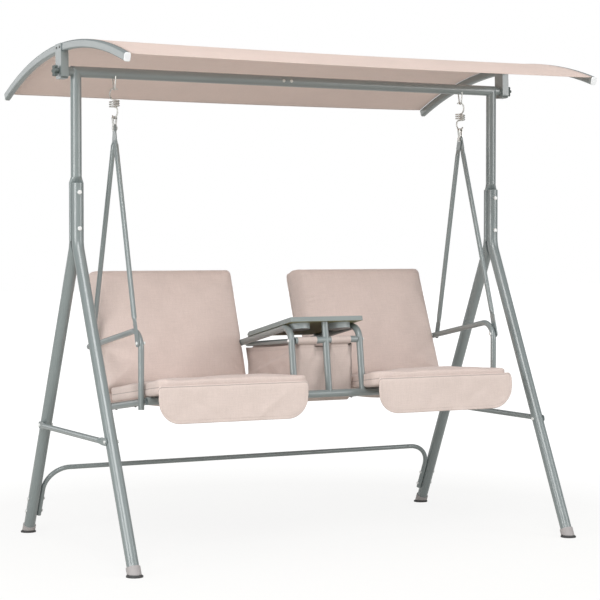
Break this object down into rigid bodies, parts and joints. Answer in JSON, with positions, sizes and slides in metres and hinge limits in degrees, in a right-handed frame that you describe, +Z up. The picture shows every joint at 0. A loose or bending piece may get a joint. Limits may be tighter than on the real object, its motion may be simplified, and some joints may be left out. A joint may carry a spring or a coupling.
{
  "type": "canopy swing seat",
  "caption": "Garden swing seat on an A-frame: padded seats beside a console with a lift-up tray table, hung from springs under a tilting arched canopy.",
  "frame": {"origin": "on the floor in the middle between the four feet", "axes": "+X to the right of someone facing the swing, -Y towards the front, +Z up"},
  "size_m": [1.73, 1.0993, 1.6274],
  "materials": {
    "frame_paint": "satin",
    "zinc_steel": "satin",
    "dark_screw": "satin",
    "white_bolt": "satin",
    "foot_plastic": "matte",
    "white_plastic": "satin",
    "knob_plastic": "matte",
    "canopy_cloth": "matte",
    "cushion_cloth": "matte",
    "flap_cloth": "matte",
    "sling_cloth": "matte",
    "bag_cloth": "matte",
    "table_plastic": "satin",
    "cup_plastic": "satin"
  },
  "bodies": {
    "swing_seat": {"bag_rail": "frame_paint", "console_bolts": "white_bolt", "console_post": "frame_paint", "front_beam": "frame_paint", "hanger_bolts": "white_bolt", "left_armrest": "frame_paint", "left_back_cushion": "cushion_cloth", "left_console_rail": "frame_paint", "left_front_flap": "flap_cloth", "left_front_hanger_arm": "frame_paint", "left_hanger_strap": "zinc_steel", "left_rear_hanger_arm": "frame_paint", "left_seat_cushion": "cushion_cloth", "left_seat_frame": "frame_paint", "left_sling": "sling_cloth", "rear_tie": "frame_paint", "right_armrest": "frame_paint", "right_back_cushion": "cushion_cloth", "right_console_rail": "frame_paint", "right_front_flap": "flap_cloth", "right_front_hanger_arm": "frame_paint", "right_hanger_strap": "zinc_steel", "right_rear_hanger_arm": "frame_paint", "right_seat_cushion": "cushion_cloth", "right_seat_frame": "frame_paint", "right_sling": "sling_cloth", "sling_screws": "dark_screw", "storage_bag": "bag_cloth"},
    "ground_frame": {"brace_bolts": "white_bolt", "crossbar_screws": "zinc_steel", "crossbar_sleeve": "frame_paint", "foot_caps": "foot_plastic", "left_front_leg": "frame_paint", "left_rear_leg": "frame_paint", "left_side_brace": "frame_paint", "left_spring_eye": "zinc_steel", "left_upper_frame": "frame_paint", "leg_bolts": "white_bolt", "pivot_bolts": "frame_paint", "rear_stretcher": "frame_paint", "right_front_leg": "frame_paint", "right_rear_leg": "frame_paint", "right_side_brace": "frame_paint", "right_spring_eye": "zinc_steel", "right_upper_frame": "frame_paint", "stretcher_bolts": "white_bolt"},
    "canopy": {"bracket_screws": "dark_screw", "canopy_end_caps": "white_plastic", "canopy_fabric": "canopy_cloth", "left_canopy_bar": "frame_paint", "left_canopy_bracket": "frame_paint", "right_canopy_bar": "frame_paint", "right_canopy_bracket": "frame_paint"},
    "table": {"cup_holders": "cup_plastic", "hinge_pins": "frame_paint", "table_top": "table_plastic"},
    "left_knob": {"left_knob": "knob_plastic"},
    "springs": {"left_spring": "zinc_steel", "right_spring": "zinc_steel"},
    "right_knob": {"right_knob": "knob_plastic"}
  },
  "joints": [
    {"name": "seat_swing", "type": "hinge", "parent": "ground_frame", "child": "springs", "pos_m": [0, 0, 1.4895], "axis": [1, 0, 0], "range_deg": [-20, 20]},
    {"name": "seat_bounce", "type": "slide", "parent": "springs", "child": "swing_seat", "axis": [0, 0, -1], "range_m": [0, 0.015], "stiffness_N_per_m": 100000, "springref_m": -0.00271, "deforming": ["left_spring", "right_spring"]},
    {"name": "canopy_tilt", "type": "hinge", "parent": "ground_frame", "child": "canopy", "pos_m": [0, 0, 1.539], "axis": [1, 0, 0], "range_deg": [-30, 30]},
    {"name": "left_knob_turn", "type": "hinge", "parent": "ground_frame", "child": "left_knob", "pos_m": [-0.857, 0, 1.539], "axis": [-1, 0, 0], "continuous": true},
    {"name": "right_knob_turn", "type": "hinge", "parent": "ground_frame", "child": "right_knob", "pos_m": [0.857, 0, 1.539], "axis": [1, 0, 0], "continuous": true},
    {"name": "table_lift", "type": "hinge", "parent": "swing_seat", "child": "table", "pos_m": [0, 0.10147, 0.68183], "axis": [-1, 0, 0], "range_deg": [0, 80]}
  ]
}
